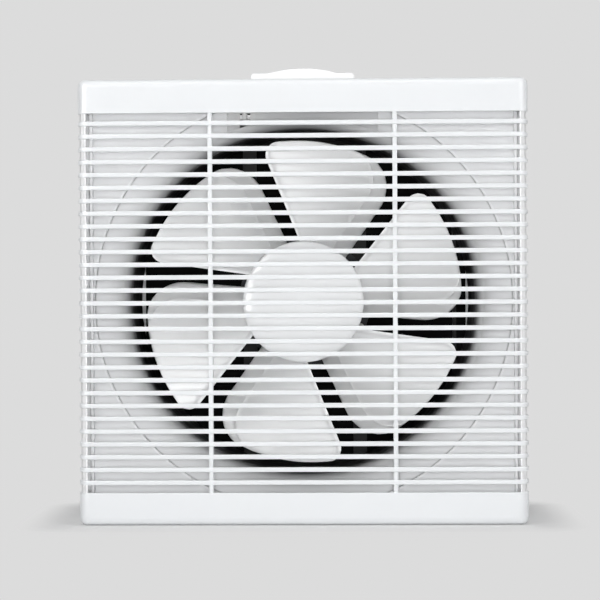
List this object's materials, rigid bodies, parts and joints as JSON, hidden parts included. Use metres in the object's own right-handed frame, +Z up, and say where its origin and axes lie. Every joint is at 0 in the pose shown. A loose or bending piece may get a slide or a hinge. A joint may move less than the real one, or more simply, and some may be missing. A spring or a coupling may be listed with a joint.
{
  "type": "window exhaust fan",
  "caption": "Square white window exhaust fan: louvred snap-off cover, bladed impeller in a round duct, motor on straps, and linked back-draught shutters in a wall sleeve.",
  "frame": {"origin": "on the fan axis, in the plane of the frame that lies against the wall", "axes": "+Z up, +Y through the wall to the outside, -Y into the room, +X to the right as seen from the room"},
  "size_m": [0.342, 0.14, 0.3497],
  "materials": {
    "cover_plastic": "glossy moulded white",
    "panel_plastic": "satin moulded white",
    "blade_plastic": "polished white",
    "shutter_plastic": "satin black",
    "dark_plastic": "satin black",
    "duct_steel": "black painted steel",
    "foam": "closed-cell foam",
    "grommet_rubber": "matt rubber",
    "terminal_plastic": "satin cream",
    "brass_screw": "plated brass",
    "capacitor_case": "satin black",
    "lead_sheath": "flexible grey sheath",
    "strap_steel": "dark painted steel",
    "motor_shell": "dark painted steel",
    "core_steel": "laminated steel",
    "winding": "enamelled copper",
    "bush_bronze": "sintered bronze",
    "shaft_steel": "ground steel",
    "zinc_screw": "zinc plated"
  },
  "bodies": {
    "housing": {"frame_panel": "panel_plastic", "bell_mouth": "panel_plastic", "duct_tube": "duct_steel", "wall_sleeve": "panel_plastic", "wall_gasket": "foam", "wiring_cover": "cover_plastic", "wiring_cover_screws": "zinc_screw", "cord_grommet": "grommet_rubber", "terminal_block": "terminal_plastic", "terminal_screws": "brass_screw", "capacitor": "capacitor_case", "motor_lead": "lead_sheath", "lead_clips": "dark_plastic", "motor_strap_left": "strap_steel", "motor_strap_right": "strap_steel", "strap_screws": "zinc_screw", "motor_front_shell": "motor_shell", "motor_rear_shell": "motor_shell", "motor_mount_screws": "zinc_screw", "motor_case_screws": "zinc_screw", "stator_core": "core_steel", "stator_coils": "winding", "front_bush": "bush_bronze", "rear_bush": "bush_bronze", "shutter_frame": "panel_plastic", "shutter_frame_screws": "zinc_screw"},
    "fan": {"motor_shaft": "shaft_steel", "rotor": "core_steel", "impeller": "blade_plastic", "impeller_washer": "zinc_screw", "impeller_nut": "zinc_screw", "spinner_cap": "blade_plastic"},
    "cover": {"grille_front_bars": "cover_plastic", "grille_top_band": "cover_plastic", "grille_bottom_band": "cover_plastic", "grille_side_left": "cover_plastic", "grille_side_right": "cover_plastic", "grille_latches": "cover_plastic"},
    "shutter_1": {"shutter_1": "shutter_plastic"},
    "shutter_2": {"shutter_2": "shutter_plastic"},
    "shutter_3": {"shutter_3": "shutter_plastic"},
    "shutter_4": {"shutter_4": "shutter_plastic"},
    "link": {"shutter_link": "dark_plastic"}
  },
  "joints": [
    {"name": "fan_spin", "type": "hinge", "parent": "housing", "child": "fan", "pos_m": [0, 0.03, 0], "axis": [0, -1, 0], "continuous": true},
    {"name": "cover_pull", "type": "slide", "parent": "housing", "child": "cover", "axis": [0, -1, 0], "range_m": [0, 0.08]},
    {"name": "shutter_1_swing", "type": "hinge", "parent": "housing", "child": "shutter_1", "pos_m": [0, 0.092, 0.126], "axis": [1, 0, 0], "range_deg": [0, 60]},
    {"name": "shutter_2_swing", "type": "hinge", "parent": "housing", "child": "shutter_2", "pos_m": [0, 0.092, 0.061], "axis": [1, 0, 0], "range_deg": [0, 60]},
    {"name": "shutter_3_swing", "type": "hinge", "parent": "housing", "child": "shutter_3", "pos_m": [0, 0.092, -0.004], "axis": [1, 0, 0], "range_deg": [0, 60]},
    {"name": "shutter_4_swing", "type": "hinge", "parent": "housing", "child": "shutter_4", "pos_m": [0, 0.092, -0.069], "axis": [1, 0, 0], "range_deg": [0, 60]},
    {"name": "link_turn", "type": "hinge", "parent": "shutter_1", "child": "link", "pos_m": [0.1241, 0.08072, 0.1301], "axis": [1, 0, 0], "range_deg": [-60, 0]}
  ],
  "couplings": [
    {"joint": "shutter_2_swing", "follows": "shutter_1_swing", "ratio": 1},
    {"joint": "shutter_3_swing", "follows": "shutter_1_swing", "ratio": 1},
    {"joint": "shutter_4_swing", "follows": "shutter_1_swing", "ratio": 1},
    {"joint": "link_turn", "follows": "shutter_1_swing", "ratio": -1}
  ]
}
